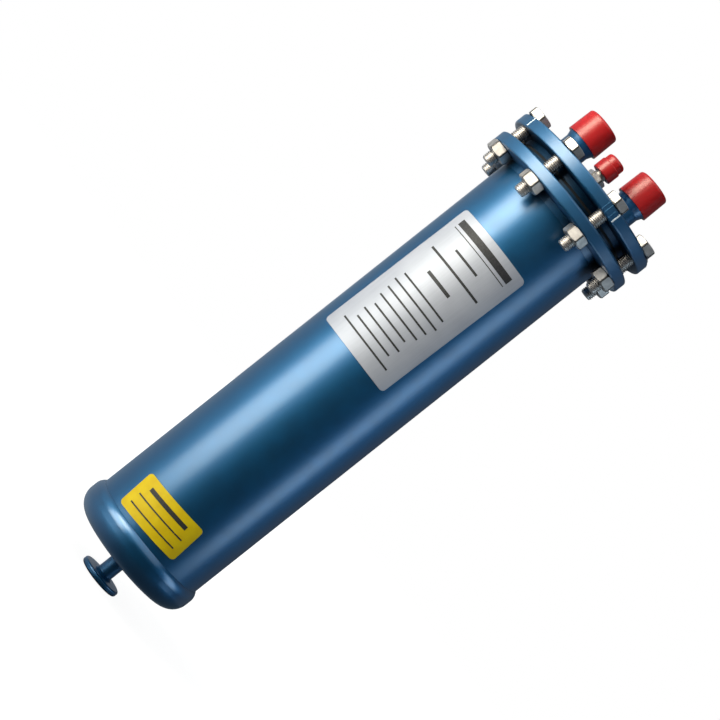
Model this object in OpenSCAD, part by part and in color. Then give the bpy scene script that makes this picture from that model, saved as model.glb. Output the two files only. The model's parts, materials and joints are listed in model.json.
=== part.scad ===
// Refrigeration oil separator: a flanged pressure vessel with a float valve in its sump.
// Hot gas comes in at the inlet stub, leaves its oil on the screens and goes out at the outlet stub.
// The oil drips through the baffle into the sump, lifts the float and leaves by the oil return tube.
// Millimetres, upright: the origin is the centre of the foot's bottom face and +Z runs up the vessel.
// The front, with both labels and the oil return fitting, faces -Y.

/* [Shell] */
// Outside diameter of the shell tube
shell_od = 101.6; // [96:0.2:120]
// Wall of the shell tube
shell_wall = 3; // [2:0.1:4]
// Length of the shell tube
shell_len = 384.5; // [340:0.5:440]

/* [Bottom cap] */
// Wall of the drawn cap
cap_wall = 3.1; // [2.5:0.1:4]
// Outside radius of the cap's bottom corner
cap_corner = 14; // [10:0.5:18]
// Height of the straight skirt above the corner
cap_skirt = 4.2; // [3:0.2:12]
// Radius of the lip that is rolled in to the shell
cap_lip_r = 8.8; // [7:0.2:11]
// Gap between the cap's skirt and the shell
cap_gap = 0.1; // [0.05:0.05:0.2]

/* [Foot] */
// Height of the foot below the cap
foot_h = 23.5; // [18:0.5:32]
// Diameter of the foot's disc
foot_d = 35; // [28:0.5:45]
// Thickness of the foot's disc
foot_t = 4.5; // [3:0.1:6]
// Radius on the rim of the foot's disc
foot_edge = 1.45; // [0.5:0.05:1.45]
// Diameter of the foot's stem
foot_stem_d = 13; // [10:0.5:16]
// Leg of the welds at the stem's ends
foot_weld = 1.6; // [1:0.1:3]

/* [Flanges] */
// Thickness of each flange's disc
flange_t = 9.5; // [8:0.1:13]
// Height of the raised sealing faces
face_h = 4.25; // [3:0.05:6]
// Width of the sealing faces outside the shell
face_lip = 2.2; // [1.5:0.1:3]
// Depth of the socket that takes the shell
flange_socket = 7; // [5:0.1:7.5]
// Rim of the flanges outside the bolt circle
rim_margin = 7; // [6.5:0.1:10]
// Radius on the flanges' rims
rim_edge = 1.4; // [0.5:0.1:2.5]
// Width of the weld below the body flange, where it meets the flange
weld_w = 1.1; // [0.6:0.1:1.4]
// Width of the same weld at its lower edge
weld_edge = 0.5; // [0.2:0.1:0.6]
// Height of the weld below the body flange
weld_h = 5; // [3:0.5:6]
// Thickness of the gasket
gasket_t = 2; // [1:0.1:3]
// Inset of the gasket from the edges of the sealing faces
gasket_inset = 0.8; // [0.4:0.1:1.2]
// Gap around pieces that are brazed or welded into a hole
braze_gap = 0.05; // [0.03:0.01:0.1]

/* [Bolts] */
// Number of flange bolts
bolt_count = 8; // [6:1:8]
// Thread diameter of the bolts
bolt_d = 10; // [8:0.5:10]
// Spanner size of the heads and nuts
bolt_af = 17; // [15:0.5:18]
// Height of the bolt heads
head_h = 6.4; // [5:0.1:8]
// Height of the nuts
nut_h = 8; // [6:0.1:9]
// Length of bolt past the nuts
bolt_tail = 7.5; // [3:0.5:12]
// Length and depth of the chamfer on the bolts' ends
bolt_tip = 1; // [0.5:0.1:2]
// Gap between the bolts and their holes
bolt_gap = 0.3; // [0.2:0.05:0.5]
// Gap between the corners of the nuts and the shell
nut_gap = 1.9; // [1.6:0.1:4]

/* [Stubs] */
// Outside diameter of the stubs' necks
stub_od = 22.2; // [18:0.1:24]
// Wall of the stubs' necks
stub_wall = 1.1; // [0.8:0.1:1.6]
// Inside diameter of the solder sockets
socket_d = 22.3; // [21:0.1:24.5]
// Depth of the solder sockets
socket_depth = 19.5; // [14:0.1:22]
// Wall of the solder sockets
socket_wall = 1.6; // [1.2:0.1:2.2]
// Height of the necks above the cover
neck_h = 14.5; // [10:0.1:20]
// Height of the flare from neck to socket
flare_h = 4.6; // [3:0.1:7]
// Leg of the braze fillet round each neck
stub_fillet = 2; // [1:0.1:3]
// Reach of the stubs below the cover's sealing face
stub_reach = 10; // [8:0.5:14]

/* [Screens] */
// Outside diameter of the screens
screen_od = 34; // [30:0.5:36]
// Wall of the screens
screen_wall = 1.2; // [0.8:0.1:1.6]
// Length of the inlet screen
inlet_screen_len = 150; // [110:1:180]
// Length of the outlet screen
outlet_screen_len = 110; // [80:1:150]
// Depth of the screens' top plates below the cover's sealing face
screen_drop = 4; // [2:0.5:5]
// Thickness of the screens' top plates and ends
screen_plate_t = 2; // [1.5:0.1:3]
// Diameter of the screens' holes
screen_hole_d = 8; // [5:0.5:10]
// Spacing of the screens' rows of holes
screen_pitch = 18; // [14:0.5:24]
// Number of holes in each row
screen_holes = 6; // [4:1:8]
// Gap between the screens and the shell
screen_gap = 2.5; // [1.5:0.1:5]

/* [Dust caps] */
// Wall of the stubs' dust caps at the rim
dust_wall = 1.35; // [1:0.05:2]
// Taper of the dust caps from rim to crown
dust_taper = 0.3; // [0:0.05:0.5]
// Thickness of the dust caps' crowns
dust_crown = 1.1; // [0.8:0.1:2]
// Radius on the dust caps' crowns
dust_edge = 2.2; // [1:0.1:2.5]
// Gap between each dust cap and what it covers
dust_gap = 0.3; // [0.2:0.05:0.4]

/* [Oil return fitting] */
// Spanner size of the fitting's hexagon
fitting_af = 14; // [13:0.5:17]
// Height of the hexagon
fitting_hex_h = 8.7; // [6:0.1:11]
// Diameter of the fitting's shank in the cover
fitting_shank_d = 12; // [10:0.2:13]
// Diameter of the flare thread
flare_thread_d = 11.1; // [10:0.1:12.5]
// Length of the plain neck below the thread
fitting_neck_h = 2.4; // [1.5:0.1:4]
// Diameter of the plain neck
fitting_neck_d = 9.6; // [8:0.1:9.8]
// Length of the flare thread
flare_thread_h = 10.2; // [8:0.1:14]
// Height of the flare nose
flare_nose_h = 2.4; // [2:0.1:3]
// Fall in radius of the flare nose
flare_nose_in = 2.4; // [1.5:0.1:2.4]
// Bore of the fitting
fitting_bore = 4; // [3:0.1:5]
// Reach of the fitting below the cover's sealing face
fitting_reach = 8; // [6:0.5:12]
// Wall of the fitting's dust cap at its rim
oil_cap_wall = 2.55; // [2:0.05:3]
// Set-in of the fitting's dust cap above its rim band
oil_cap_step = 0.8; // [0.4:0.1:1.2]
// Height of the rim band
oil_cap_band = 9.5; // [6:0.1:12]
// Thickness of the crown of the fitting's dust cap
oil_cap_crown = 2.5; // [2:0.1:4]

/* [Oil return tube] */
// Outside diameter of the oil return tube
return_od = 6.35; // [5:0.05:7]
// Wall of the oil return tube
return_wall = 0.8; // [0.6:0.05:1]
// Depth of the tube's sockets
return_socket = 8; // [5:0.5:10]

/* [Float valve] */
// Spanner size of the valve's hexagon
valve_af = 17; // [15:0.5:19]
// Height of the valve's hexagon
valve_hex_h = 14; // [12:0.5:18]
// Diameter of the valve's neck
valve_neck_d = 12; // [11:0.5:14]
// Height of the valve's neck
valve_neck_h = 10; // [9:0.5:14]
// Diameter of the spigot below the bracket
spigot_d = 8; // [7:0.1:9]
// Diameter of the needle
needle_d = 4; // [3:0.1:5]
// Length of needle that shows below the spigot
needle_show = 1.7; // [1:0.1:3]
// Length of the needle's cone
needle_cone = 4; // [3:0.1:5]
// Radius of the needle's blunt tip
needle_tip_r = 0.4; // [0.2:0.05:0.6]
// Diameter of the valve's orifice
orifice_d = 2.4; // [1.8:0.1:2.8]
// Diameter of the chamber round the needle
chamber_d = 9; // [7:0.1:10]
// Height of the chamber
chamber_h = 3; // [2.8:0.1:4]
// Diameter of the oil ports into the chamber
port_d = 2.4; // [1.6:0.1:2.6]
// Running gap of the needle and of the pivot
running_gap = 0.05; // [0.02:0.01:0.1]
// Gap between needle and seat, and between needle and lever
seat_gap = 0.2; // [0.1:0.05:0.3]
// Gap between the valve and the shell
valve_wall_gap = 10; // [7:0.5:14]

/* [Float] */
// Diameter of the float ball
ball_d = 44; // [36:0.5:48]
// Wall of the float ball
ball_wall = 0.6; // [0.4:0.05:1]
// Fall of the float's arm below the level at rest
float_droop = 21.8; // [18:0.1:24]
// Gap between the raised float and the shell
float_wall_gap = 2.7; // [2:0.1:6]
// Gap between the resting float and the vessel's floor
float_floor_gap = 11.3; // [9:0.1:16]
// Diameter of the float's rod
rod_d = 5; // [4:0.1:6]
// Diameter of the boss that takes the rod
ball_boss_d = 10; // [9:0.5:12]
// Depth of rod in the boss
ball_boss_depth = 7; // [5:0.5:9]
// Distance from pivot to needle
pad_arm = 8; // [7:0.1:10]
// Length of the pad past the needle
pad_past = 3; // [2:0.1:4]
// Thickness of the pad
pad_t = 3; // [2:0.1:4]
// Height of the pad's top above the pivot
pad_rise = 1.5; // [1:0.1:2]
// Diameter of the pivot pin
pivot_d = 4; // [3:0.1:5]
// Wall of the lever's barrel
barrel_wall = 1.95; // [1.5:0.05:2.3]
// Width inside the bracket's cheeks
bracket_w = 12; // [11:0.5:16]
// Sheet thickness of the bracket
bracket_t = 2; // [1.5:0.1:2.5]
// Height of the bracket's plate above the pivot
bracket_rise = 8; // [7.5:0.1:12]
// Width of the bracket's cheeks round the pivot
cheek_w = 12; // [10:0.5:13]
// Side gap between the lever and the cheeks
lever_gap = 0.3; // [0.2:0.05:0.5]
// Diameter of the pivot pin's head and of its riveted end
pin_head_d = 6.4; // [5.5:0.1:7]
// Thickness of the pivot pin's head and of its riveted end
pin_head_t = 1.5; // [1:0.1:2.5]

/* [Sump] */
// Distance of the baffle above the valve
baffle_rise = 15; // [10:0.5:40]
// Thickness of the baffle
baffle_t = 1.5; // [1:0.1:3]
// Gap between the baffle and the shell
baffle_gap = 0.3; // [0.2:0.05:0.5]
// Diameter of the baffle's drain holes
drain_d = 9; // [6:0.5:12]
// Number of drain holes
drain_count = 5; // [3:1:6]
// Radius of the circle of drain holes
drain_circle_r = 29.5; // [26:0.5:34]
// Diameter of the sump magnet
magnet_d = 24; // [16:0.5:30]
// Thickness of the sump magnet
magnet_t = 5; // [3:0.5:8]

/* [Labels] */
// Width of the data plate round the shell
plate_w = 74; // [50:1:90]
// Height of the data plate
plate_h = 125; // [80:1:150]
// Drop of the data plate below the body flange
plate_drop = 48.5; // [30:0.5:90]
// Turn of the data plate from the front
plate_turn = -11; // [-30:1:30]
// Tilt of the data plate
plate_tilt = -1; // [-4:0.5:4]
// Width of the yellow label round the shell
label_w = 59; // [40:1:80]
// Height of the yellow label
label_h = 30; // [20:1:50]
// Rise of the yellow label above the cap's lip
label_rise = 5; // [4:0.5:40]
// Turn of the yellow label from the front
label_turn = -4; // [-30:1:30]
// Tilt of the yellow label
label_tilt = 3.7; // [-5:0.1:5]
// Corner radius of both
plate_corner = 3; // [1:0.5:6]
// Thickness of both
plate_t = 0.4; // [0.2:0.1:0.8]
// Glue line under both
plate_glue = 0.02; // [0.01:0.01:0.05]

/* [Hidden] */
$fn = 96;

// How far past a face a cut runs
over = 1;
// Share of a hexagon's flats that its round end face keeps
hex_crown = 0.96;
// Turn of each bolt head and each nut, as the spanner left them
head_turns = [12, 48, 25, 8, 39, 41, 31, 29];
nut_turns = [45, 20, 5, 33, 56, 51, 52, 34];

blue = [0.10, 0.30, 0.52];
zinc = [0.80, 0.80, 0.78];
red = [0.80, 0.08, 0.10];
brass = [0.80, 0.65, 0.30];
copper = [0.78, 0.48, 0.32];
steel = [0.65, 0.66, 0.68];
graphite = [0.16, 0.16, 0.17];
silver = [0.80, 0.81, 0.82];
yellow = [0.88, 0.80, 0.08];

// Radii of the vessel
shell_r = shell_od / 2;
inner_r = shell_r - shell_wall;
cap_ir = shell_r + cap_gap;
cap_r = cap_ir + cap_wall;
bolt_corner_r = bolt_af / 2 / cos(30);
bolt_circle_r = shell_r + nut_gap + bolt_corner_r;
flange_r = bolt_circle_r + rim_margin;
face_r = shell_r + face_lip;
hole_r = bolt_d / 2 + bolt_gap;

// Levels of the vessel, from the foot up
floor_z = foot_h + cap_wall;
shell_z = foot_h + cap_corner;
lip_z = shell_z + cap_skirt;
lip_reach = cap_lip_r - cap_wall;
lip_top_z = lip_z + sqrt(cap_lip_r * cap_lip_r - lip_reach * lip_reach);
shell_top_z = shell_z + shell_len;
flange_z = shell_top_z - flange_socket;
gasket_z = flange_z + flange_t + face_h;
cover_face_z = gasket_z + gasket_t;
cover_z = cover_face_z + face_h;
cover_top_z = cover_z + flange_t;
bolt_len = cover_top_z - flange_z + nut_h + bolt_tail;

// Stubs and screens, side by side across the cover
stub_r = stub_od / 2;
socket_r = socket_d / 2;
bell_r = socket_r + socket_wall;
stub_x = inner_r - screen_gap - screen_od / 2;
stub_z = cover_face_z - stub_reach;
bell_z = cover_top_z + neck_h + flare_h;
mouth_z = bell_z + socket_depth;
screen_top_z = cover_face_z - screen_drop;
screen_ir = screen_od / 2 - screen_wall;

// Oil return line, in front of the axis
valve_corner_r = valve_af / 2 / cos(30);
valve_y = -(inner_r - valve_wall_gap - valve_corner_r);
fitting_z = cover_face_z - fitting_reach;
fitting_hex_z = cover_top_z + fitting_hex_h;
thread_z = fitting_hex_z + fitting_neck_h;
nose_z = thread_z + flare_thread_h;
nose_top_z = nose_z + flare_nose_h;
thread_r = flare_thread_d / 2;
nose_r = thread_r - flare_nose_in;
return_r = return_od / 2;
return_hole_r = return_r + braze_gap;

// Float mechanism, from the vessel's floor up
ball_r = ball_d / 2;
pivot_y = valve_y + pad_arm;
arm_len = inner_r - float_wall_gap - ball_r - pivot_y;
pivot_z = floor_z + float_floor_gap + ball_r + arm_len * sin(float_droop);
pivot_r = pivot_d / 2;
barrel_r = pivot_r + running_gap + barrel_wall;
pad_z = pivot_z + pad_rise;
needle_z = pad_z + seat_gap;
spigot_z = needle_z + needle_show;
bracket_z = pivot_z + bracket_rise;
valve_z = bracket_z + bracket_t;
valve_top_z = valve_z + valve_hex_h + valve_neck_h;
return_z = valve_top_z - return_socket;
return_top_z = fitting_z + return_socket;
needle_r = needle_d / 2;
orifice_r = orifice_d / 2;
chamber_z = valve_z + bracket_t;
seat_z = chamber_z + chamber_h;
needle_slope = (needle_r - needle_tip_r) / needle_cone;
needle_cone_z = seat_z - (needle_r - orifice_r + seat_gap) / needle_slope;
bracket_r = bracket_w / 2 + bracket_t;
baffle_z = valve_top_z + baffle_rise;

// Half section of a disc with rounded rims, from the axis out
module disc_section(r, z, h, edge) {
    translate([0, z]) square([r - edge, h]);
    translate([0, z + edge]) square([r, h - 2 * edge]);
    translate([r - edge, z + edge]) circle(edge);
    translate([r - edge, z + h - edge]) circle(edge);
}

// Half section of a plug with one rounded edge, at its top
module crown_section(r, z, top, edge) {
    translate([0, z]) square([r, top - edge - z]);
    translate([0, z]) square([r - edge, top - z]);
    translate([r - edge, top - edge]) circle(edge);
}

// A ring or disc between two levels
module ring(r, bore_r, z, top) {
    difference() {
        translate([0, 0, z]) cylinder(r = r, h = top - z);
        translate([0, 0, z - over]) cylinder(r = bore_r, h = top - z + 2 * over);
    }
}

// Hexagon with its corners rounded off by a large sphere at the top, or at both ends
module hexagon(af, h, turn, both_ends) {
    corner_r = af / 2 / cos(30);
    flat_r = af / 2 * hex_crown;
    crown_h = (corner_r - flat_r) * tan(30);
    depth = (corner_r * corner_r - flat_r * flat_r + crown_h * crown_h) / (2 * crown_h);
    crown_r = norm([flat_r, depth]);
    rotate(turn) intersection() {
        cylinder(r = corner_r, h = h, $fn = 6);
        translate([0, 0, h - depth]) sphere(r = crown_r);
        if (both_ends) translate([0, 0, depth]) sphere(r = crown_r);
    }
}

// Puts a copy of its children at each bolt, with $k as the bolt's number
module at_bolts() {
    for ($k = [0 : bolt_count - 1]) {
        angle = 360 / bolt_count * ($k + 0.5);
        translate([bolt_circle_r * cos(angle), bolt_circle_r * sin(angle), 0]) children();
    }
}

// Rounded rectangle round the origin
module rounded_rect(w, h, corner) {
    square([w - 2 * corner, h], center = true);
    square([w, h - 2 * corner], center = true);
    for (x = [-1, 1], y = [-1, 1])
        translate([x * (w / 2 - corner), y * (h / 2 - corner)]) circle(corner);
}

// Thin plate bent round the shell's front
module bent_plate(w, h, z, turn, tilt) {
    inside = shell_r + plate_glue;
    outside = inside + plate_t;
    flat_w = 2 * shell_r * sin(w / 2 / shell_r * 180 / PI);
    rotate(turn) intersection() {
        ring(outside, inside, z - h, z + h);
        translate([0, 0, z]) rotate([90, 0, 0]) linear_extrude(outside + over)
            rotate(tilt) rounded_rect(flat_w, h, plate_corner);
    }
}

// Flange disc with a raised face and bolt holes; face_up says which side the face is on
module flange_blank(z, face_up) {
    difference() {
        rotate_extrude() {
            disc_section(flange_r, z, flange_t, rim_edge);
            translate([0, face_up ? z + flange_t - over : z - face_h]) square([face_r, face_h + over]);
        }
        at_bolts() translate([0, 0, z - over]) cylinder(r = hole_r, h = flange_t + 2 * over);
    }
}

module foot_stud() {
    stem_r = foot_stem_d / 2;
    color(blue) rotate_extrude() {
        disc_section(foot_d / 2, 0, foot_t, foot_edge);
        polygon([
            [0, 0], [stem_r + foot_weld, 0], [stem_r + foot_weld, foot_t], [stem_r, foot_t + foot_weld],
            [stem_r, foot_h - foot_weld], [stem_r + foot_weld, foot_h], [0, foot_h],
        ]);
    }
}

module bottom_cap() {
    inner_corner = cap_corner - cap_wall;
    color(blue) rotate_extrude() difference() {
        union() {
            translate([0, foot_h]) square([cap_r - cap_corner, cap_corner]);
            translate([0, shell_z]) square([cap_r, cap_skirt]);
            intersection() {
                translate([cap_r - cap_corner, shell_z]) circle(cap_corner);
                translate([0, foot_h]) square([cap_r, cap_corner]);
            }
            intersection() {
                translate([cap_r - cap_lip_r, lip_z]) circle(cap_lip_r);
                translate([0, lip_z]) square([cap_r, cap_lip_r]);
            }
        }
        translate([0, floor_z]) square([cap_ir - inner_corner, inner_corner + over]);
        translate([cap_ir - inner_corner, shell_z]) circle(inner_corner);
        translate([0, shell_z]) square([cap_ir, cap_skirt + cap_lip_r + over]);
    }
}

module shell_tube() {
    color(blue) ring(shell_r, inner_r, shell_z, shell_top_z);
}

module body_flange() {
    socket_wall_r = shell_r + braze_gap;
    weld_z = flange_z - weld_h;
    color(blue) difference() {
        union() {
            flange_blank(flange_z, true);
            rotate_extrude() polygon([
                [0, weld_z], [socket_wall_r + weld_edge, weld_z], [socket_wall_r + weld_w, flange_z],
                [socket_wall_r + weld_w, flange_z + over], [0, flange_z + over],
            ]);
        }
        translate([0, 0, weld_z - over]) cylinder(r = inner_r, h = gasket_z - weld_z + 2 * over);
        translate([0, 0, weld_z - over]) cylinder(r = socket_wall_r, h = shell_top_z - weld_z + over);
    }
}

module flange_gasket() {
    color(graphite) ring(face_r - gasket_inset, inner_r + gasket_inset, gasket_z, cover_face_z);
}

module cover_flange() {
    color(blue) difference() {
        flange_blank(cover_z, false);
        for (side = [-1, 1])
            translate([side * stub_x, 0, cover_face_z - over])
                cylinder(r = stub_r + braze_gap, h = cover_top_z - cover_face_z + 2 * over);
        translate([0, valve_y, cover_face_z - over])
            cylinder(r = fitting_shank_d / 2 + braze_gap, h = cover_top_z - cover_face_z + 2 * over);
    }
}

module flange_bolts() {
    color(zinc) at_bolts() {
        translate([0, 0, cover_top_z]) hexagon(bolt_af, head_h, head_turns[$k], false);
        translate([0, 0, cover_top_z - bolt_len]) rotate_extrude() polygon([
            [0, 0], [bolt_d / 2 - bolt_tip, 0], [bolt_d / 2, bolt_tip],
            [bolt_d / 2, bolt_len + over], [0, bolt_len + over],
        ]);
    }
}

module flange_nuts() {
    color(zinc) at_bolts() translate([0, 0, flange_z - nut_h]) difference() {
        hexagon(bolt_af, nut_h, nut_turns[$k], true);
        translate([0, 0, -over]) cylinder(r = bolt_d / 2 + braze_gap, h = nut_h + 2 * over);
    }
}

// Connection tube with a solder socket, brazed through the cover
module stub(side) {
    neck_ir = stub_r - stub_wall;
    neck_top_z = cover_top_z + neck_h;
    color(blue) translate([side * stub_x, 0, 0]) rotate_extrude() polygon([
        [neck_ir, stub_z], [stub_r, stub_z], [stub_r, cover_top_z], [stub_r + stub_fillet, cover_top_z],
        [stub_r, cover_top_z + stub_fillet], [stub_r, neck_top_z], [bell_r, bell_z], [bell_r, mouth_z],
        [socket_r, mouth_z], [socket_r, bell_z], [neck_ir, bell_z],
    ]);
}

module inlet_stub() {
    stub(-1);
}

module outlet_stub() {
    stub(1);
}

// Push-on cap over a solder socket
module dust_cap(side) {
    inside_r = bell_r + dust_gap;
    rim_r = inside_r + dust_wall;
    crown_r = rim_r - dust_taper;
    inside_top_z = mouth_z + dust_gap;
    top_z = inside_top_z + dust_crown;
    color(red) translate([side * stub_x, 0, 0]) rotate_extrude() difference() {
        union() {
            polygon([[0, bell_z], [rim_r, bell_z], [crown_r, top_z - dust_edge], [0, top_z - dust_edge]]);
            crown_section(crown_r, top_z - dust_edge - over, top_z, dust_edge);
        }
        translate([0, bell_z - over]) square([inside_r, inside_top_z - bell_z + over]);
    }
}

module inlet_dust_cap() {
    dust_cap(-1);
}

module outlet_dust_cap() {
    dust_cap(1);
}

module oil_fitting() {
    color(zinc) translate([0, valve_y, 0]) difference() {
        union() {
            translate([0, 0, cover_top_z]) hexagon(fitting_af, fitting_hex_h, 0, false);
            translate([0, 0, fitting_z])
                cylinder(d = fitting_shank_d, h = cover_top_z - fitting_z + over);
            translate([0, 0, fitting_hex_z - over])
                cylinder(d = fitting_neck_d, h = fitting_neck_h + 2 * over);
            translate([0, 0, thread_z]) cylinder(r = thread_r, h = flare_thread_h);
            translate([0, 0, nose_z]) cylinder(r1 = thread_r, r2 = nose_r, h = flare_nose_h);
        }
        translate([0, 0, fitting_z - over])
            cylinder(d = fitting_bore, h = nose_top_z - fitting_z + 2 * over);
        translate([0, 0, fitting_z - over]) cylinder(r = return_hole_r, h = return_socket + over);
    }
}

module oil_dust_cap() {
    inside_r = thread_r + dust_gap;
    rim_r = inside_r + oil_cap_wall;
    crown_r = rim_r - oil_cap_step;
    inside_top_z = nose_top_z + dust_gap;
    top_z = inside_top_z + oil_cap_crown;
    color(red) translate([0, valve_y, 0]) rotate_extrude() difference() {
        union() {
            disc_section(rim_r, thread_z, oil_cap_band, oil_cap_step);
            crown_section(crown_r, thread_z + over, top_z, oil_cap_crown);
        }
        translate([0, thread_z - over]) square([inside_r, inside_top_z - thread_z + over]);
    }
}

module data_plate() {
    color(silver) bent_plate(plate_w, plate_h, flange_z - plate_drop - plate_h / 2, plate_turn, plate_tilt);
}

module yellow_label() {
    color(yellow) bent_plate(label_w, label_h, lip_top_z + label_rise + label_h / 2, label_turn, label_tilt);
}

module oil_return_tube() {
    color(copper) translate([0, valve_y, 0]) ring(return_r, return_r - return_wall, return_z, return_top_z);
}

module valve_body() {
    color(brass) translate([0, valve_y, 0]) difference() {
        union() {
            translate([0, 0, spigot_z]) cylinder(d = spigot_d, h = valve_z - spigot_z + over);
            translate([0, 0, valve_z]) hexagon(valve_af, valve_hex_h, 30, true);
            translate([0, 0, valve_z + over]) cylinder(d = valve_neck_d, h = valve_top_z - valve_z - over);
        }
        translate([0, 0, spigot_z - over])
            cylinder(r = needle_r + running_gap, h = chamber_z - spigot_z + 2 * over);
        translate([0, 0, chamber_z]) cylinder(d = chamber_d, h = chamber_h);
        translate([0, 0, chamber_z]) cylinder(r = orifice_r, h = valve_top_z - chamber_z);
        translate([0, 0, seat_z + chamber_h]) cylinder(r = return_r - return_wall, h = valve_top_z - seat_z);
        translate([0, 0, return_z]) cylinder(r = return_hole_r, h = return_socket + over);
        for (turn = [0 : 60 : 300])
            rotate(turn) translate([0, 0, chamber_z + chamber_h / 2]) rotate([0, 90, 0])
                cylinder(d = port_d, h = valve_af);
    }
}

module valve_needle() {
    color(steel) translate([0, valve_y, 0]) rotate_extrude() {
        intersection() {
            translate([0, needle_z + needle_r]) circle(needle_r);
            translate([0, needle_z]) square([needle_r, needle_d]);
        }
        translate([0, needle_z + needle_r]) square([needle_r, needle_cone_z - needle_z - needle_r]);
        polygon([
            [0, needle_cone_z], [needle_r, needle_cone_z],
            [needle_tip_r, needle_cone_z + needle_cone], [0, needle_cone_z + needle_cone],
        ]);
    }
}

module float_bracket() {
    back_y = valve_y - valve_corner_r;
    front_y = pivot_y + cheek_w / 2;
    color(steel) difference() {
        union() {
            translate([-bracket_r, back_y, bracket_z]) cube([2 * bracket_r, front_y - back_y, bracket_t]);
            for (x = [-bracket_r, bracket_w / 2])
                translate([x, pivot_y, 0]) rotate([90, 0, 90]) linear_extrude(bracket_t) {
                    translate([-cheek_w / 2, pivot_z]) square([cheek_w, bracket_rise + bracket_t / 2]);
                    translate([0, pivot_z]) circle(d = cheek_w);
                }
        }
        translate([0, valve_y, bracket_z - over])
            cylinder(r = spigot_d / 2 + braze_gap, h = bracket_t + 2 * over);
        translate([-bracket_r - over, pivot_y, pivot_z]) rotate([0, 90, 0])
            cylinder(r = pivot_r + braze_gap, h = 2 * bracket_r + 2 * over);
    }
}

module pivot_pin() {
    color(steel) translate([0, pivot_y, pivot_z]) rotate([0, 90, 0]) {
        translate([0, 0, -bracket_r - pin_head_t])
            cylinder(r = pivot_r, h = 2 * bracket_r + 2 * pin_head_t);
        for (z = [-bracket_r - pin_head_t, bracket_r])
            translate([0, 0, z]) cylinder(d = pin_head_d, h = pin_head_t);
    }
}

module float_lever() {
    barrel_len = bracket_w - 2 * lever_gap;
    rod_end = arm_len - ball_r + ball_boss_depth - braze_gap;
    pad_w = 2 * barrel_r;
    color(brass) translate([0, pivot_y, pivot_z]) difference() {
        union() {
            translate([-barrel_len / 2, 0, 0]) rotate([0, 90, 0]) cylinder(r = barrel_r, h = barrel_len);
            translate([-pad_w / 2, -pad_arm - pad_past, pad_rise - pad_t])
                cube([pad_w, pad_arm + pad_past, pad_t]);
            rotate([-90 - float_droop, 0, 0]) cylinder(d = rod_d, h = rod_end);
        }
        translate([-barrel_len / 2 - over, 0, 0]) rotate([0, 90, 0])
            cylinder(r = pivot_r + running_gap, h = barrel_len + 2 * over);
    }
}

module float_ball() {
    boss_start = arm_len - ball_r - over;
    color(steel) translate([0, pivot_y, pivot_z]) rotate([-90 - float_droop, 0, 0]) difference() {
        union() {
            difference() {
                translate([0, 0, arm_len]) sphere(r = ball_r);
                translate([0, 0, arm_len]) sphere(r = ball_r - ball_wall);
            }
            translate([0, 0, boss_start])
                cylinder(d = ball_boss_d, h = ball_boss_depth + 2 * over + ball_wall);
        }
        translate([0, 0, boss_start - over])
            cylinder(r = rod_d / 2 + braze_gap, h = ball_boss_depth + 2 * over);
    }
}

module sump_baffle() {
    color(steel) difference() {
        ring(inner_r - baffle_gap, drain_d / 2, baffle_z, baffle_z + baffle_t);
        translate([0, valve_y, baffle_z - over])
            cylinder(r = return_r + baffle_gap, h = baffle_t + 2 * over);
        for (k = [0 : drain_count - 1])
            rotate(360 / (drain_count + 1) * (k + 1) - 90) translate([drain_circle_r, 0, baffle_z - over])
                cylinder(d = drain_d, h = baffle_t + 2 * over);
    }
}

module sump_magnet() {
    color(graphite) translate([0, 0, floor_z]) cylinder(d = magnet_d, h = magnet_t);
}

// Perforated tube that hangs from a stub, open at the bottom
module screen(side, len) {
    rows = floor((len - 2 * screen_hole_d) / screen_pitch);
    first_z = screen_top_z - (len - (rows - 1) * screen_pitch) / 2;
    color(steel) translate([side * stub_x, 0, 0]) difference() {
        translate([0, 0, screen_top_z - len]) cylinder(d = screen_od, h = len);
        translate([0, 0, screen_top_z - len - over])
            cylinder(r = screen_ir, h = len - screen_plate_t + over);
        translate([0, 0, screen_top_z - screen_plate_t - over])
            cylinder(r = stub_r + braze_gap, h = screen_plate_t + 2 * over);
        for (row = [0 : rows - 1], k = [0 : screen_holes - 1])
            translate([0, 0, first_z - row * screen_pitch]) rotate(360 / screen_holes * (k + row % 2 / 2))
                rotate([0, 90, 0]) cylinder(d = screen_hole_d, h = screen_od);
    }
}

// Plug in the lower end of a screen
module screen_end(side, len) {
    bottom_z = screen_top_z - len;
    color(steel) translate([side * stub_x, 0, 0]) {
        translate([0, 0, bottom_z - screen_plate_t]) cylinder(d = screen_od, h = screen_plate_t);
        translate([0, 0, bottom_z - over])
            cylinder(r = screen_ir - braze_gap, h = screen_plate_t + over);
    }
}

module inlet_screen() {
    screen(-1, inlet_screen_len);
}

module inlet_screen_end() {
    screen_end(-1, inlet_screen_len);
}

module outlet_screen() {
    screen(1, outlet_screen_len);
}

module outlet_screen_end() {
    screen_end(1, outlet_screen_len);
}

foot_stud();
bottom_cap();
shell_tube();
body_flange();
flange_gasket();
cover_flange();
flange_bolts();
flange_nuts();
inlet_stub();
outlet_stub();
inlet_dust_cap();
outlet_dust_cap();
oil_fitting();
oil_dust_cap();
data_plate();
yellow_label();
oil_return_tube();
valve_body();
valve_needle();
float_bracket();
pivot_pin();
float_lever();
float_ball();
sump_baffle();
sump_magnet();
inlet_screen();
inlet_screen_end();
outlet_screen();
outlet_screen_end();
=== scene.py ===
import json
import math

import bmesh
import bpy
from mathutils import Matrix, Vector

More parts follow.
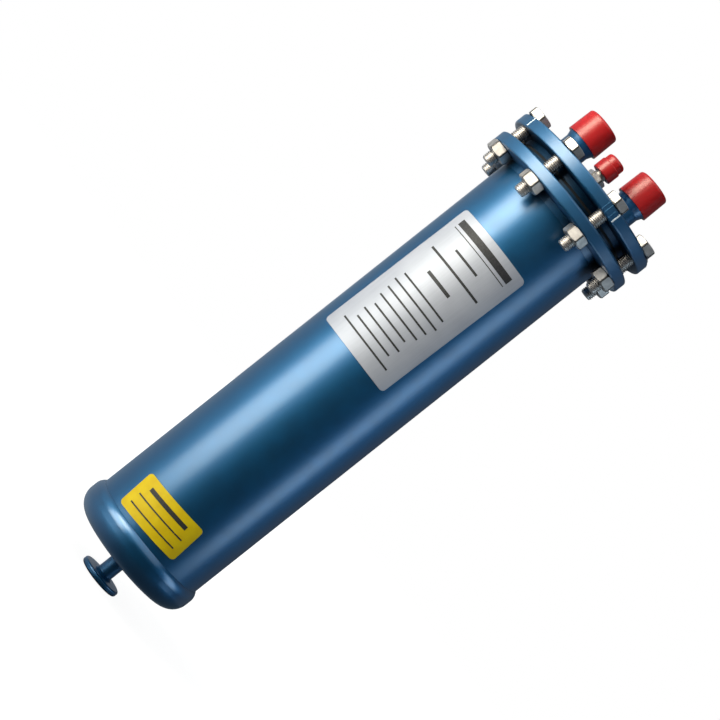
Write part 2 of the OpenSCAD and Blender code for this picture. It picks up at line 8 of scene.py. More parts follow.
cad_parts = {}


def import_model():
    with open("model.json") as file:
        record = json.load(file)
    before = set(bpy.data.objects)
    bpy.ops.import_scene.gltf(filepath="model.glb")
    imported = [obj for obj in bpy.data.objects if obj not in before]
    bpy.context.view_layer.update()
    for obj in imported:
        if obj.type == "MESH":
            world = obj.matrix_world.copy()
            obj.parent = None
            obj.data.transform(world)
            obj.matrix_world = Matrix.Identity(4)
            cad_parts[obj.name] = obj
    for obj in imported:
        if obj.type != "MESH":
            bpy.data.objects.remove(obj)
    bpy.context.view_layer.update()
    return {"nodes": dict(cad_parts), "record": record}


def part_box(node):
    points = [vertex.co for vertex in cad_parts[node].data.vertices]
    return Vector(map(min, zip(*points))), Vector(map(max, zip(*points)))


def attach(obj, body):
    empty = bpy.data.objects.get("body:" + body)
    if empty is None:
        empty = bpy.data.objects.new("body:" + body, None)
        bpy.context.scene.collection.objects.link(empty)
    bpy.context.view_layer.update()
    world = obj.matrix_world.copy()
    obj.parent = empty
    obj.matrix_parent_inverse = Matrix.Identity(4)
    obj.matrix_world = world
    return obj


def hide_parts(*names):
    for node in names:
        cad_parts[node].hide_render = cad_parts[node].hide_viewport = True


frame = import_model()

MM = 0.001
NODES = frame["nodes"]

# Sizes that the frame gives, in metres
FLANGE_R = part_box("cover_flange")[1].x
COVER_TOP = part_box("cover_flange")[1].z
BOLT_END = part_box("flange_bolts")[0].z
HEAD_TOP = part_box("flange_bolts")[1].z
NUT_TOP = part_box("flange_nuts")[1].z
NUT_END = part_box("flange_nuts")[0].z

# Sizes of the flange, fasteners and fitting, as in the part's source
FLANGE_T = 9.5 * MM
BOLT_COUNT = 8
BOLT_CIRCLE_R = 62.515 * MM
BOLT_R = 5 * MM
BOLT_AF = 17 * MM
BOLT_TIP_R = 4 * MM
HEAD_TURNS = [12, 48, 25, 8, 39, 41, 31, 29]
NUT_TURNS = [45, 20, 5, 33, 56, 51, 52, 34]
FITTING_Y = -27.985 * MM
FITTING_AF = 14 * MM
FITTING_HEX_H = 8.7 * MM
FITTING_NECK_H = 2.4 * MM
FITTING_NECK_R = 4.8 * MM
FLARE_R = 5.55 * MM
FLARE_H = 10.2 * MM
NOSE_H = 2.4 * MM
NOSE_R = 3.15 * MM
FITTING_BORE_R = 2 * MM
SHANK_R = 6 * MM

# Details of the fasteners and the fitting that only the scene has
EDGE = 0.12 * MM
WASHER_H = 0.4 * MM
WASHER_SHARE = 0.95
HEAD_FACE_SHARE = 0.97
BOLT_THREAD_DEPTH = 0.62 * MM
BOLT_PITCH = 1.5 * MM
NUT_PLAY = 0.05 * MM
NUT_MOUTH = 0.55 * MM
NUT_MOUTH_H = 0.5 * MM
FLARE_THREAD_DEPTH = 0.7 * MM
FLARE_PITCH = 1.27 * MM
FITTING_BORE_H = 12 * MM

# A thread from one crest to the next: share of the pitch, and share of the depth
THREAD_PROFILE = [(0.0, 0.0), (0.3, 0.0), (0.5, 1.0), (0.8, 1.0)]
THREAD_STEPS = 36

# Edges that bend more than this many degrees stay sharp
SHARP_ANGLE = 24

# Points closer than the first length are merged, and edges shorter than the second are removed
MERGE_GAP = 0.001 * MM
SHORT_EDGE = 0.0005 * MM

# Lines on the cover flange's rim: place in degrees from the front, and width in millimetres
BRIGHT_MARKS = [(-57.8, 1.6), (27.4, 1.5)]
FAINT_MARKS = [(17.5, 0.4), (20.1, 0.6), (23.9, 0.35)]
MARK_END_GAP = 0.9 * MM
MARK_SINK = -0.05 * MM
MARK_RISE = 0.12 * MM
MARK_TOP_SHARE = 0.3

# How the labels lie on the shell, as in the part's source, in degrees
PLATE_TURN = -11
PLATE_TILT = -1
LABEL_TURN = -4
LABEL_TILT = 3.7

# Bars on the labels: half length, place above the label's middle and thickness, in millimetres
PLATE_BARS = [(29, 53.5, 5.5), (29, 48, 0.7), (12, 38, 1.8), (27, 27, 1.8), (12, 14, 2.6)]
PLATE_ROWS = [23, 25, 23, 22, 18, 21, 19, 26]
PLATE_ROW_TOP = 0.5
PLATE_ROW_STEP = 7.3
PLATE_ROW_H = 1.4
LABEL_BARS = [(19, 7.4, 3.4), (23, -0.6, 1.1), (23, -8.4, 1.1)]

# Places of a mix node's sockets
MIX_SHARE = 0
MIX_NUMBERS = (2, 3)
MIX_COLOURS = (6, 7)
MIX_NUMBER_OUT = 0
MIX_COLOUR_OUT = 2


def linear(red, green, blue):
    """A colour given in screen values from 0 to 255, as the shader wants it."""
    def one(value):
        share = value / 255
        return share / 12.92 if share <= 0.04045 else ((share + 0.055) / 1.055) ** 2.4
    return (one(red), one(green), one(blue), 1.0)


class Graph:
    """A material's node tree, with short calls to add nodes and link them."""

    def __init__(self, name):
        self.material = bpy.data.materials.new(name)
        self.material.use_nodes = True
        self.tree = self.material.node_tree
        self.shader = self.tree.nodes["Principled BSDF"]
        self.place = self.add("ShaderNodeTexCoord").outputs["Object"]

    def add(self, kind, **settings):
        made = self.tree.nodes.new(kind)
        for key, value in settings.items():
            setattr(made, key, value)
        return made

    def link(self, source, target):
        self.tree.links.new(source, target)

    def set(self, **values):
        for key, value in values.items():
            self.shader.inputs[key.replace("_", " ")].default_value = value

    def noise(self, scale, detail=3.0, roughness=0.55, stretch=(1, 1, 1)):
        mapping = self.add("ShaderNodeMapping")
        mapping.inputs["Scale"].default_value = stretch
        self.link(self.place, mapping.inputs["Vector"])
        made = self.add("ShaderNodeTexNoise")
        made.inputs["Scale"].default_value = scale
        made.inputs["Detail"].default_value = detail
        made.inputs["Roughness"].default_value = roughness
        self.link(mapping.outputs["Vector"], made.inputs["Vector"])
        return made.outputs["Fac"]

    def spread(self, source, low, high, start=0.3, end=0.7):
        """Maps a texture value onto the range from low to high."""
        made = self.add("ShaderNodeMapRange")
        made.inputs["From Min"].default_value = start
        made.inputs["From Max"].default_value = end
        made.inputs["To Min"].default_value = low
        made.inputs["To Max"].default_value = high
        self.link(source, made.inputs["Value"])
        return made.outputs["Result"]

    def mix(self, share, first, second):
        """Colour between first and second, each a colour or an output."""
        made = self.add("ShaderNodeMix", data_type="RGBA")
        self.link(share, made.inputs["Factor"])
        for place, value in zip(MIX_COLOURS, (first, second)):
            socket = made.inputs[place]
            if isinstance(value, tuple):
                socket.default_value = value
            else:
                self.link(value, socket)
        return made.outputs[MIX_COLOUR_OUT]

    def bump(self, source, strength, distance, normal=None):
        made = self.add("ShaderNodeBump")
        made.inputs["Strength"].default_value = strength
        made.inputs["Distance"].default_value = distance
        self.link(source, made.inputs["Height"])
        if normal is not None:
            self.link(normal, made.inputs["Normal"])
        return made.outputs["Normal"]

    def gap_shade(self, distance, closed, opened):
        """Painted shade: from 0 in narrow gaps to 1 on open faces."""
        made = self.add("ShaderNodeAmbientOcclusion", samples=8)
        made.inputs["Distance"].default_value = distance
        return self.spread(made.outputs["AO"], 0, 1, closed, opened)

    def colour(self, source):
        self.link(source, self.shader.inputs["Base Color"])

    def roughness(self, source):
        self.link(source, self.shader.inputs["Roughness"])

    def normal(self, source):
        self.link(source, self.shader.inputs["Normal"])


def blue_paint(name, base_rough, coat_rough, coat_ior):
    """Metallic paint under clear lacquer, with painted shade in gaps: a darker colour and less lacquer
    there.
    """
    g = Graph(name)
    flakes = g.noise(5200, 2)
    cloud = g.noise(22, 4)
    tone = g.mix(g.spread(cloud, 0, 1), linear(1, 93, 144), linear(4, 100, 151))
    flecked = g.mix(g.spread(flakes, 0, 0.3), tone, linear(10, 116, 171))
    # Painted shade: narrow gaps turn dark blue and lose their lacquer gloss
    unshaded_share = g.gap_shade(16 * MM, 0.2, 0.85)
    g.colour(g.mix(unshaded_share, linear(1, 25, 48), flecked))
    g.link(unshaded_share, g.shader.inputs["Coat Weight"])
    g.roughness(g.spread(g.noise(90, 4), base_rough - 0.04, base_rough + 0.04))
    peel = g.bump(g.noise(700, 2), 0.05, 0.2 * MM)
    g.normal(g.bump(flakes, 0.03, 0.05 * MM, peel))
    g.set(Metallic=0.94, Coat_Roughness=coat_rough, Coat_IOR=coat_ior)
    return g.material


def zinc_plate():
    """Bright plating, with painted shade: darker lines along the marked corners of the hexagons, and
    darker in gaps.
    """
    g = Graph("zinc_plate")
    blotch = g.noise(260, 4)
    tone = g.mix(g.spread(blotch, 0, 1), linear(200, 194, 192), linear(226, 221, 218))
    # Painted shade: dark lines on the hexagons' corners, and a darker colour in gaps
    corner = g.add("ShaderNodeAttribute", attribute_name="corner").outputs["Fac"]
    corner_shaded = g.mix(corner, tone, linear(106, 104, 102))
    g.colour(g.mix(g.gap_shade(8 * MM, 0.15, 0.75), linear(96, 92, 88), corner_shaded))
    g.roughness(g.spread(g.noise(500, 3), 0.42, 0.54))
    g.normal(g.bump(g.noise(900, 2), 0.03, 0.05 * MM))
    g.set(Metallic=1.0)
    return g.material


def red_plastic():
    g = Graph("red_plastic")
    cloud = g.noise(70, 3)
    g.colour(g.mix(g.spread(cloud, 0, 1), linear(174, 4, 8), linear(188, 8, 12)))
    g.roughness(g.spread(g.noise(420, 4), 0.31, 0.41))
    g.normal(g.bump(g.noise(1500, 3), 0.06, 0.06 * MM))
    g.set(Specular_IOR_Level=0.85)
    return g.material


def foil():
    g = Graph("foil")
    brushed = g.noise(900, 3, stretch=(1, 1, 0.03))
    cloud = g.noise(30, 3)
    tone = g.mix(g.spread(cloud, 0, 1), linear(174, 178, 191), linear(188, 192, 204))
    g.colour(g.mix(g.spread(brushed, 0, 0.3), tone, linear(204, 207, 219)))
    g.roughness(g.spread(brushed, 0.46, 0.58))
    g.normal(g.bump(brushed, 0.04, 0.03 * MM))
    g.set(Metallic=0.3)
    return g.material


def yellow_vinyl():
    g = Graph("yellow_vinyl")
    cloud = g.noise(120, 4)
    g.colour(g.mix(g.spread(cloud, 0, 1), linear(224, 188, 4), linear(234, 204, 10)))
    g.roughness(g.spread(g.noise(500, 3), 0.45, 0.58))
    g.normal(g.bump(g.noise(1200, 2), 0.05, 0.04 * MM))
    g.set(Specular_IOR_Level=0.35)
    return g.material


def ink():
    g = Graph("ink")
    g.colour(g.mix(g.spread(g.noise(800, 3), 0, 1), linear(34, 34, 38), linear(54, 54, 58)))
    g.roughness(g.spread(g.noise(600, 3), 0.5, 0.62))
    return g.material


def line_colour(name, dark, light):
    """Streaked flat colour for lines across the rim, from dark to light."""
    g = Graph(name)
    scratch = g.noise(1600, 3, stretch=(1, 1, 0.15))
    g.colour(g.mix(g.spread(scratch, 0, 1), dark, light))
    g.roughness(g.spread(scratch, 0.5, 0.7))
    return g.material


def gasket_fibre():
    g = Graph("gasket_fibre")
    speckle = g.noise(1800, 4)
    g.colour(g.mix(g.spread(speckle, 0, 1), linear(20, 21, 24), linear(42, 43, 47)))
    g.roughness(g.spread(speckle, 0.7, 0.9))
    g.normal(g.bump(speckle, 0.3, 0.1 * MM))
    return g.material


def drawn_metal(name, dark, light, low, high):
    """Bare metal with a fine grain along the vessel's axis."""
    g = Graph(name)
    grain = g.noise(1400, 3, stretch=(1, 1, 0.1))
    g.colour(g.mix(g.spread(grain, 0, 1), dark, light))
    g.roughness(g.spread(grain, low, high))
    g.normal(g.bump(grain, 0.06, 0.04 * MM))
    g.set(Metallic=1.0)
    return g.material


def ferrite():
    g = Graph("ferrite")
    speckle = g.noise(2200, 4)
    g.colour(g.mix(g.spread(speckle, 0, 1), linear(36, 36, 40), linear(58, 58, 62)))
    g.roughness(g.spread(speckle, 0.45, 0.65))
    g.normal(g.bump(speckle, 0.15, 0.05 * MM))
    return g.material


def pale_floor():
    """Matt white that the camera sees near white, with only a faint shadow round the foot."""
    g = Graph("pale_floor")
    g.colour(g.mix(g.spread(g.noise(6, 3), 0, 1), linear(248, 248, 248), linear(253, 253, 253)))
    g.roughness(g.spread(g.noise(20, 2), 0.85, 0.95))
    g.set(Specular_IOR_Level=0.1)
    distance = g.add("ShaderNodeVectorMath", operation="LENGTH")
    g.link(g.place, distance.inputs[0])
    glow = g.add("ShaderNodeEmission")
    g.link(g.spread(distance.outputs["Value"], 1.08, 1.3, 0.1, 0.5), glow.inputs["Strength"])
    path = g.add("ShaderNodeLightPath")
    share = g.spread(path.outputs["Is Camera Ray"], 0.0, 0.88, 0, 1)
    both = g.add("ShaderNodeMixShader")
    g.link(share, both.inputs[0])
    g.link(g.shader.outputs["BSDF"], both.inputs[1])
    g.link(glow.outputs["Emission"], both.inputs[2])
    g.link(both.outputs["Shader"], g.tree.nodes["Material Output"].inputs["Surface"])
    return g.material


FINISH = {
    "blue_paint": blue_paint("blue_paint", 0.52, 0.31, 1.8),
    "zinc": zinc_plate(),
    "red_plastic": red_plastic(),
    "gasket": gasket_fibre(),
    "foil": foil(),
    "yellow_vinyl": yellow_vinyl(),
    "copper": drawn_metal("copper", linear(190, 112, 78), linear(214, 140, 104), 0.28, 0.42),
    "brass": drawn_metal("brass", linear(186, 150, 72), linear(214, 182, 104), 0.26, 0.4),
    "steel": drawn_metal("steel", linear(150, 152, 155), linear(184, 186, 188), 0.3, 0.45),
    "ferrite": ferrite(),
}
INK = ink()
RIM_PAINT = blue_paint("rim_paint", 0.61, 0.37, 1.9)
CAP_PAINT = blue_paint("cap_paint", 0.46, 0.26, 1.92)
# The bright lines are scratches in the paint, coloured near white as a painted highlight; the faint lines
# are a lighter blue
HIGHLIGHT_MARK = line_colour("highlight_mark", linear(222, 240, 253), linear(242, 250, 255))
PALE_MARK = line_colour("pale_mark", linear(44, 112, 160), linear(66, 132, 178))

# Pieces whose paint differs from the shell's
OWN_PAINT = {"body_flange": RIM_PAINT, "cover_flange": RIM_PAINT, "bottom_cap": CAP_PAINT}


def dress(piece, material):
    piece.data.materials.clear()
    piece.data.materials.append(material)


def dress_frame():
    for part in frame["record"]["subparts"]:
        node = part["node"]
        dress(NODES[node], OWN_PAINT.get(node, FINISH[part["material_slot"]]))


def piece_from(name, mesh, body, material):
    """A new piece of the object that rides on a body."""
    made = bpy.data.objects.new(name, mesh)
    bpy.context.scene.collection.objects.link(made)
    dress(made, material)
    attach(made, body)
    return made


class Shape:
    """A mesh under construction, made of rings of points round upright axes."""

    def __init__(self):
        self.bm = bmesh.new()

    def ring(self, points):
        return [self.bm.verts.new(point) for point in points]

    def band(self, lower, upper):
        for k in range(len(lower)):
            n = (k + 1) % len(lower)
            self.bm.faces.new((lower[k], lower[n], upper[n], upper[k]))

    def lid(self, edge, centre, top):
        middle = self.bm.verts.new(centre)
        for k in range(len(edge)):
            n = (k + 1) % len(edge)
            self.bm.faces.new((edge[k], edge[n], middle) if top else (edge[n], edge[k], middle))

    def stack(self, rings, low_centre=None, high_centre=None):
        """Joins rings from the bottom up, and closes the ends that have a centre."""
        made = [self.ring(points) for points in rings]
        for lower, upper in zip(made, made[1:]):
            self.band(lower, upper)
        if low_centre is not None:
            self.lid(made[0], low_centre, False)
        if high_centre is not None:
            self.lid(made[-1], high_centre, True)

    def mesh(self, name):
        bmesh.ops.remove_doubles(self.bm, verts=self.bm.verts, dist=MERGE_GAP)
        bmesh.ops.dissolve_degenerate(self.bm, edges=self.bm.edges, dist=SHORT_EDGE)
        made = bpy.data.meshes.new(name)
        self.bm.to_mesh(made)
        self.bm.free()
        made.shade_smooth()
        made.set_sharp_from_angle(angle=math.radians(SHARP_ANGLE))
        return made


def circle_points(centre, radius, z, angles):
    return [(centre[0] + radius * math.cos(a), centre[1] + radius * math.sin(a), z) for a in angles]


class Hexagon:
    """Points round a hexagon whose corners are turned off a little."""
    CORNER = 0.25 * MM
    CHAMFER = math.tan(math.radians(30))

    # Radius of the round end face, as a share of half the width across the flats
    FLAT_SHARE = 0.96

    # Where the points beside a corner stand, as a share of the way to it
    BESIDE_CORNER = 0.88

    # Points between these shares of the corner's radius count as corners
    MARKED = (0.985, 1.001)

    def __init__(self, centre, af, turn):
        self.centre = centre
        self.flat_r = af / 2 * self.FLAT_SHARE
        self.corner_r = af / 2 / math.cos(math.pi / 6) - self.CORNER
        reach = math.acos(af / 2 / self.corner_r)
        beside = reach * self.BESIDE_CORNER
        steps = [-math.pi / 6, -reach, -beside, -reach / 2, 0, reach / 2, beside, reach]
        self.angles = []
        self.radii = []
        for side in range(6):
            for step in steps:
                self.angles.append(math.radians(turn) + math.pi / 6 + side * math.pi / 3 + step)
                self.radii.append(min(self.corner_r, af / 2 / math.cos(step)))

    def points(self, z, inset=0.0):
        x, y = self.centre
        return [(x + (r - inset) * math.cos(a), y + (r - inset) * math.sin(a), z)
                for a, r in zip(self.angles, self.radii)]

    def chamfered(self, z, down, inset=0.0):
        """The edge where the flats meet the cone that ends at height z.

        down is 1 at a top and -1 at a bottom.
        """
        x, y = self.centre
        made = []
        for a, r in zip(self.angles, self.radii):
            r = r - inset
            level = z - down * max(0.0, r - self.flat_r) * self.CHAMFER
            made.append((x + r * math.cos(a), y + r * math.sin(a), level))
        return made

    def circle(self, radius, z):
        return circle_points(self.centre, radius, z, self.angles)

    def mark_corners(self, mesh):
        """Sets the mesh's corner mark to 1 at this hexagon's corners, where the zinc gets painted shade.
        """
        marks = mesh.attributes.get("corner") or mesh.attributes.new("corner", "FLOAT", "POINT")
        nearest, farthest = [self.corner_r * share for share in self.MARKED]
        for point, mark in zip(mesh.vertices, marks.data):
            if nearest < math.dist(point.co.xy, self.centre) < farthest:
                mark.value = 1.0


def thread(shape, centre, radius, depth, pitch, low, high, low_r, high_r):
    """A closed threaded rod from low to high, whose ends narrow to low_r and high_r."""
    turns = int((high - low) / pitch) + 2
    rows = []
    for turn in range(-1, turns):
        for share, fall in THREAD_PROFILE:
            row = []
            for k in range(THREAD_STEPS + 1):
                angle = 2 * math.pi * k / THREAD_STEPS
                z = low + (turn + share + k / THREAD_STEPS) * pitch
                z = min(max(z, low), high)
                r = min(radius - depth * fall, low_r + (z - low), high_r + (high - z))
                row.append(shape.bm.verts.new((
                    centre[0] + r * math.cos(angle), centre[1] + r * math.sin(angle), z)))
            rows.append(row)
    for lower, upper in zip(rows, rows[1:]):
        for k in range(THREAD_STEPS):
            shape.bm.faces.new((lower[k], lower[k + 1], upper[k + 1], upper[k]))
    angles = [2 * math.pi * k / THREAD_STEPS for k in range(THREAD_STEPS)]
    shape.lid(shape.ring(circle_points(centre, low_r, low, angles)), (*centre, low), False)
    shape.lid(shape.ring(circle_points(centre, high_r, high, angles)), (*centre, high), True)


def bolt_places():
    for k in range(BOLT_COUNT):
        angle = 2 * math.pi * (k + 0.5) / BOLT_COUNT
        yield k, (BOLT_CIRCLE_R * math.cos(angle), BOLT_CIRCLE_R * math.sin(angle))


def bolts():
    """Hexagon bolts with a washer face under the head and a threaded shank."""
    shape = Shape()
    washer_r = BOLT_AF / 2 * WASHER_SHARE
    washer_top = COVER_TOP + WASHER_H
    for k, centre in bolt_places():
        hexagon = Hexagon(centre, BOLT_AF, HEAD_TURNS[k])
        shape.stack([
            hexagon.circle(washer_r, COVER_TOP), hexagon.circle(washer_r, washer_top),
            hexagon.points(washer_top, EDGE), hexagon.points(washer_top + EDGE),
            [(x, y, z - EDGE) for x, y, z in hexagon.chamfered(HEAD_TOP, 1)],
            hexagon.chamfered(HEAD_TOP, 1, EDGE),
            hexagon.circle(hexagon.flat_r, HEAD_TOP),
            hexagon.circle(hexagon.flat_r * HEAD_FACE_SHARE, HEAD_TOP),
        ], (*centre, COVER_TOP), (*centre, HEAD_TOP))
        thread(shape, centre, BOLT_R, BOLT_THREAD_DEPTH, BOLT_PITCH,
               BOLT_END, COVER_TOP + WASHER_H / 2, BOLT_TIP_R, BOLT_TIP_R)
    mesh = shape.mesh("hex_bolts")
    for k, centre in bolt_places():
        Hexagon(centre, BOLT_AF, HEAD_TURNS[k]).mark_corners(mesh)
    made = piece_from("hex_bolts", mesh, "vessel", FINISH["zinc"])
    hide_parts("flange_bolts")


def nuts():
    """Hexagon nuts with a countersunk bore."""
    shape = Shape()
    bore_r = BOLT_R + NUT_PLAY
    mouth_r = bore_r + NUT_MOUTH
    for k, centre in bolt_places():
        hexagon = Hexagon(centre, BOLT_AF, NUT_TURNS[k])
        shape.stack([
            hexagon.circle(bore_r, NUT_END + NUT_MOUTH_H), hexagon.circle(mouth_r, NUT_END),
            hexagon.circle(hexagon.flat_r, NUT_END),
            hexagon.chamfered(NUT_END, -1, EDGE),
            [(x, y, z + EDGE) for x, y, z in hexagon.chamfered(NUT_END, -1)],
            [(x, y, z - EDGE) for x, y, z in hexagon.chamfered(NUT_TOP, 1)],
            hexagon.chamfered(NUT_TOP, 1, EDGE),
            hexagon.circle(hexagon.flat_r, NUT_TOP), hexagon.circle(mouth_r, NUT_TOP),
            hexagon.circle(bore_r, NUT_TOP - NUT_MOUTH_H), hexagon.circle(bore_r, NUT_END + NUT_MOUTH_H),
        ])
    mesh = shape.mesh("hex_nuts")
    for k, centre in bolt_places():
        Hexagon(centre, BOLT_AF, NUT_TURNS[k]).mark_corners(mesh)
    made = piece_from("hex_nuts", mesh, "vessel", FINISH["zinc"])
    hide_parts("flange_nuts")


def oil_fitting():
    """Flare fitting with its hexagon, thread and nose."""
    shape = Shape()
    centre = (0.0, FITTING_Y)
    hexagon = Hexagon(centre, FITTING_AF, 0)
    hex_top = COVER_TOP + FITTING_HEX_H
    thread_z = hex_top + FITTING_NECK_H
    nose_z = thread_z + FLARE_H
    shape.stack([
        hexagon.points(COVER_TOP, EDGE), hexagon.points(COVER_TOP + EDGE),
        [(x, y, z - EDGE) for x, y, z in hexagon.chamfered(hex_top, 1)],
        hexagon.chamfered(hex_top, 1, EDGE),
        hexagon.circle(hexagon.flat_r, hex_top), hexagon.circle(FITTING_NECK_R, hex_top),
        hexagon.circle(FITTING_NECK_R, thread_z + EDGE),
    ], (*centre, COVER_TOP), (*centre, thread_z + EDGE))
    thread(shape, centre, FLARE_R, FLARE_THREAD_DEPTH, FLARE_PITCH,
           thread_z, nose_z + EDGE, FITTING_NECK_R, FITTING_NECK_R)
    bore_z = nose_z - FITTING_BORE_H
    shape.stack([
        hexagon.circle(FITTING_NECK_R, nose_z), hexagon.circle(NOSE_R, nose_z + NOSE_H),
        hexagon.circle(FITTING_BORE_R, nose_z + NOSE_H),
        hexagon.circle(FITTING_BORE_R, bore_z),
    ], (*centre, nose_z))
    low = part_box("oil_fitting")[0].z
    shape.stack([
        hexagon.circle(SHANK_R, low), hexagon.circle(SHANK_R, COVER_TOP),
    ], (*centre, low), (*centre, COVER_TOP))
    mesh = shape.mesh("flare_fitting")
    hexagon.mark_corners(mesh)
    made = piece_from("flare_fitting", mesh, "vessel", FINISH["zinc"])
    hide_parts("oil_fitting")


class Print:
    """Ink bars on a label that is bent round the shell."""
    RISE = 0.06 * MM

    # Length of a bar's segments, in millimetres
    STEP = 2

    def __init__(self, node, turn, tilt):
        low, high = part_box(node)
        self.middle_z = (low.z + high.z) / 2
        self.radius = -low.y + self.RISE
        self.turn = math.radians(turn)
        self.tilt = math.radians(tilt)
        self.bm = bmesh.new()

    def point(self, across, up):
        x = self.radius * math.sin(across / self.radius)
        flat_x = x * math.cos(self.tilt) - up * math.sin(self.tilt)
        z = x * math.sin(self.tilt) + up * math.cos(self.tilt)
        angle = self.turn + math.asin(flat_x / self.radius)
        return (self.radius * math.sin(angle), -self.radius * math.cos(angle), self.middle_z + z)

    def bar(self, half, up, height):
        """A bar that reaches half to either side of the label's middle, at height up; in millimetres."""
        steps = max(1, round(2 * half / self.STEP))
        edges = [(up + side * height / 2) * MM for side in (-1, 1)]
        rows = []
        for k in range(steps + 1):
            across = (-half + 2 * half * k / steps) * MM
            rows.append([self.bm.verts.new(self.point(across, edge)) for edge in edges])
        for first, second in zip(rows, rows[1:]):
            self.bm.faces.new((first[0], second[0], second[1], first[1]))

    def piece(self, name, slot):
        mesh = bpy.data.meshes.new(name)
        self.bm.to_mesh(mesh)
        self.bm.free()
        mesh.shade_smooth()
        return piece_from(name, mesh, "vessel", INK)


def rim_marks(name, marks, material):
    """Thin lines across the cover flange's rim."""
    bm = bmesh.new()
    ends = (COVER_TOP - FLANGE_T + MARK_END_GAP, COVER_TOP - MARK_END_GAP)
    for angle, width in marks:
        half = width * MM / 2 / FLANGE_R
        top = half * MARK_TOP_SHARE
        middle = math.radians(angle)
        rows = []
        for turn, rise in ((-half, MARK_SINK), (-top, MARK_RISE), (top, MARK_RISE), (half, MARK_SINK)):
            r = FLANGE_R + rise
            x = r * math.sin(middle + turn)
            y = -r * math.cos(middle + turn)
            rows.append([bm.verts.new((x, y, z)) for z in ends])
        for first, second in zip(rows, rows[1:]):
            bm.faces.new((first[0], second[0], second[1], first[1]))
    mesh = bpy.data.meshes.new(name)
    bm.to_mesh(mesh)
    bm.free()
    piece_from(name, mesh, "vessel", material)


def plate_print():
    made = Print("data_plate", PLATE_TURN, PLATE_TILT)
    for half, up, height in PLATE_BARS:
        made.bar(half, up, height)
    for k, half in enumerate(PLATE_ROWS):
        made.bar(half, PLATE_ROW_TOP - PLATE_ROW_STEP * k, PLATE_ROW_H)
    made.piece("plate_print", "foil")


def label_print():
    made = Print("yellow_label", LABEL_TURN, LABEL_TILT)
    for half, up, height in LABEL_BARS:
        made.bar(half, up, height)
    made.piece("label_print", "yellow_vinyl")


dress_frame()
bolts()
nuts()
oil_fitting()
rim_marks("bright_marks", BRIGHT_MARKS, HIGHLIGHT_MARK)
rim_marks("faint_marks", FAINT_MARKS, PALE_MARK)
plate_print()
label_print()


FLOOR_SIZE = 6.0
FLOOR_CELLS = 8
FLOOR_DROP = 0.2 * MM


def floor():
    """Floor just below the foot, which the object doesn't reflect."""
    bpy.ops.mesh.primitive_grid_add(
        x_subdivisions=FLOOR_CELLS, y_subdivisions=FLOOR_CELLS, size=FLOOR_SIZE,
        location=(0, 0, -FLOOR_DROP))
    made = bpy.context.object
    made.name = "floor"
    dress(made, pale_floor())
    made.visible_glossy = False
    made.visible_diffuse = False


# The view: how the vessel's axis lies in the picture, and where the camera stands, in metres
VIEW_TURN = math.radians(4)
AXIS_SLOPE = math.radians(38.47)
CAMERA_AWAY = 1.427
AIM_UP = 0.2431
AIM_RIGHT = -0.0055
LENS = 100
SENSOR = 36

# Directions round the upright vessel: to the right, to the camera and up
RIGHT = Vector((math.cos(VIEW_TURN), math.sin(VIEW_TURN), 0))
TO_CAMERA = Vector((math.sin(VIEW_TURN), -math.cos(VIEW_TURN), 0))
UP = Vector((0, 0, 1))


def camera():
    data = bpy.data.cameras.new("camera")
    data.lens = LENS
    data.sensor_width = SENSOR
    made = bpy.data.objects.new("camera", data)
    bpy.context.scene.collection.objects.link(made)
    across = RIGHT * math.sin(AXIS_SLOPE) + UP * math.cos(AXIS_SLOPE)
    upward = UP * math.sin(AXIS_SLOPE) - RIGHT * math.cos(AXIS_SLOPE)
    place = UP * AIM_UP + RIGHT * AIM_RIGHT + TO_CAMERA * CAMERA_AWAY
    made.matrix_world = Matrix((across, upward, TO_CAMERA)).transposed().to_4x4()
    made.matrix_world.translation = place
    bpy.context.scene.camera = made


def strip_light(name, angle, away, width, height, level, power, tint=(1, 1, 1)):
    """Upright soft box that faces the vessel, at an angle in degrees to the right of the camera."""
    data = bpy.data.lights.new(name, "AREA")
    data.shape = "RECTANGLE"
    data.size = width
    data.size_y = height
    data.energy = power
    data.color = tint
    made = bpy.data.objects.new(name, data)
    bpy.context.scene.collection.objects.link(made)
    turn = math.radians(angle)
    outward = RIGHT * math.sin(turn) + TO_CAMERA * math.cos(turn)
    made.location = outward * away + UP * level
    made.rotation_mode = "QUATERNION"
    made.rotation_quaternion = outward.to_track_quat("Z", "Y")
    made.visible_camera = False
    return made


def lights():
    strip_light("key_box", angle=-52, away=0.55, width=0.36, height=1.0, level=0.53, power=5.1,
                tint=(1, 0.99, 0.87))
    strip_light("upper_key_box", angle=-50, away=0.55, width=0.3, height=0.2, level=0.54, power=0.9,
                tint=(1, 0.84, 0.58))
    strip_light("fill_box", angle=78, away=0.55, width=0.22, height=0.47, level=0.235, power=0.72,
                tint=(0.64, 0.85, 1))
    strip_light("rim_box", angle=128, away=0.6, width=0.5, height=0.9, level=0.35, power=0.14,
                tint=(0.8, 0.9, 1))
    strip_light("back_box", angle=190, away=0.75, width=0.3, height=0.7, level=0.55, power=0.35)
    top = strip_light("overhead", angle=0, away=0.0, width=1.1, height=1.1, level=1.9, power=1.5)
    top.rotation_quaternion = UP.to_track_quat("Z", "Y")
    bounce = strip_light("floor_bounce", angle=0, away=0.0, width=0.3, height=0.3, level=0.3 * MM,
                         power=0.013, tint=(0.55, 0.85, 1))
    bounce.rotation_quaternion = (-UP).to_track_quat("Z", "Y")
    front = strip_light("front_top", angle=8, away=0.95, width=2.0, height=2.0, level=1.6, power=7.4)
    front.rotation_quaternion = (front.location - UP * AIM_UP).to_track_quat("Z", "Y")


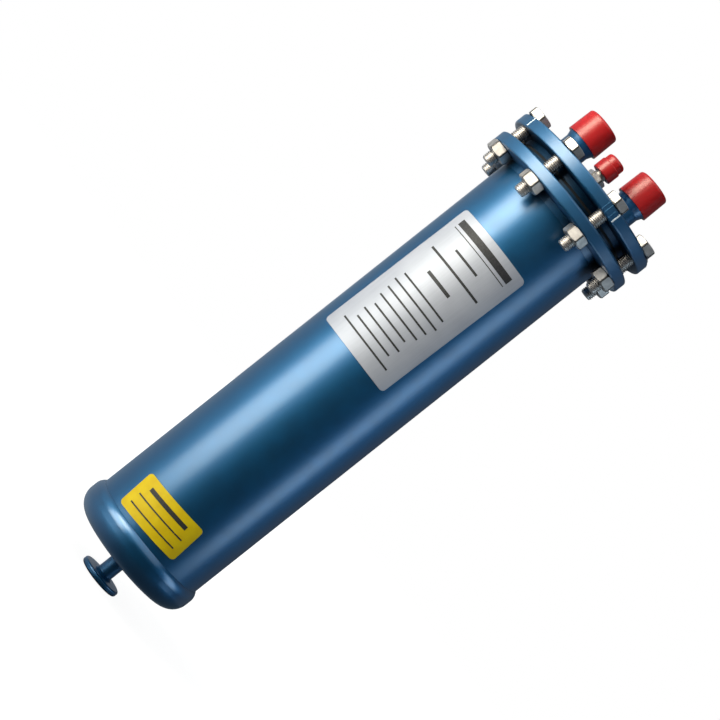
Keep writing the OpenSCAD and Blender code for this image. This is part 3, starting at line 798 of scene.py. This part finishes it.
# The room that the object reflects: its lighter side, where the change starts and ends, and its strengths
LIGHT_SIDE = -RIGHT * 0.95 - TO_CAMERA * 0.31 + UP * 0.1
ROOM_SIDES = (-0.25, 0.85)
ROOM_STRENGTHS = (0.02, 0.4)
ROOM_TINT = (0.78, 0.9, 1, 1)
WHITE = (1, 1, 1, 1)


def world():
    """White to the camera; to the object a dim room, lighter on the left."""
    made = bpy.data.worlds.new("studio")
    bpy.context.scene.world = made
    made.use_nodes = True
    tree = made.node_tree
    tree.nodes.clear()
    path = tree.nodes.new("ShaderNodeLightPath")
    place = tree.nodes.new("ShaderNodeTexCoord")
    facing = tree.nodes.new("ShaderNodeVectorMath")
    facing.operation = "DOT_PRODUCT"
    facing.inputs[1].default_value = LIGHT_SIDE
    tree.links.new(place.outputs["Generated"], facing.inputs[0])
    ramp = tree.nodes.new("ShaderNodeMapRange")
    ramp.interpolation_type = "SMOOTHSTEP"
    ramp.inputs["From Min"].default_value, ramp.inputs["From Max"].default_value = ROOM_SIDES
    ramp.inputs["To Min"].default_value, ramp.inputs["To Max"].default_value = ROOM_STRENGTHS
    tree.links.new(facing.outputs["Value"], ramp.inputs["Value"])
    shown = tree.nodes.new("ShaderNodeMix")
    shown.data_type = "FLOAT"
    shown.inputs[MIX_NUMBERS[1]].default_value = 1.0
    tree.links.new(path.outputs["Is Camera Ray"], shown.inputs[MIX_SHARE])
    tree.links.new(ramp.outputs["Result"], shown.inputs[MIX_NUMBERS[0]])
    light = tree.nodes.new("ShaderNodeBackground")
    tint = tree.nodes.new("ShaderNodeMix")
    tint.data_type = "RGBA"
    tint.inputs[MIX_COLOURS[0]].default_value = ROOM_TINT
    tint.inputs[MIX_COLOURS[1]].default_value = WHITE
    tree.links.new(path.outputs["Is Camera Ray"], tint.inputs[MIX_SHARE])
    tree.links.new(tint.outputs[MIX_COLOUR_OUT], light.inputs["Color"])
    tree.links.new(shown.outputs[MIX_NUMBER_OUT], light.inputs["Strength"])
    out = tree.nodes.new("ShaderNodeOutputWorld")
    tree.links.new(light.outputs["Background"], out.inputs["Surface"])


bpy.context.scene.view_settings.view_transform = "Standard"
floor()
world()
lights()
camera()
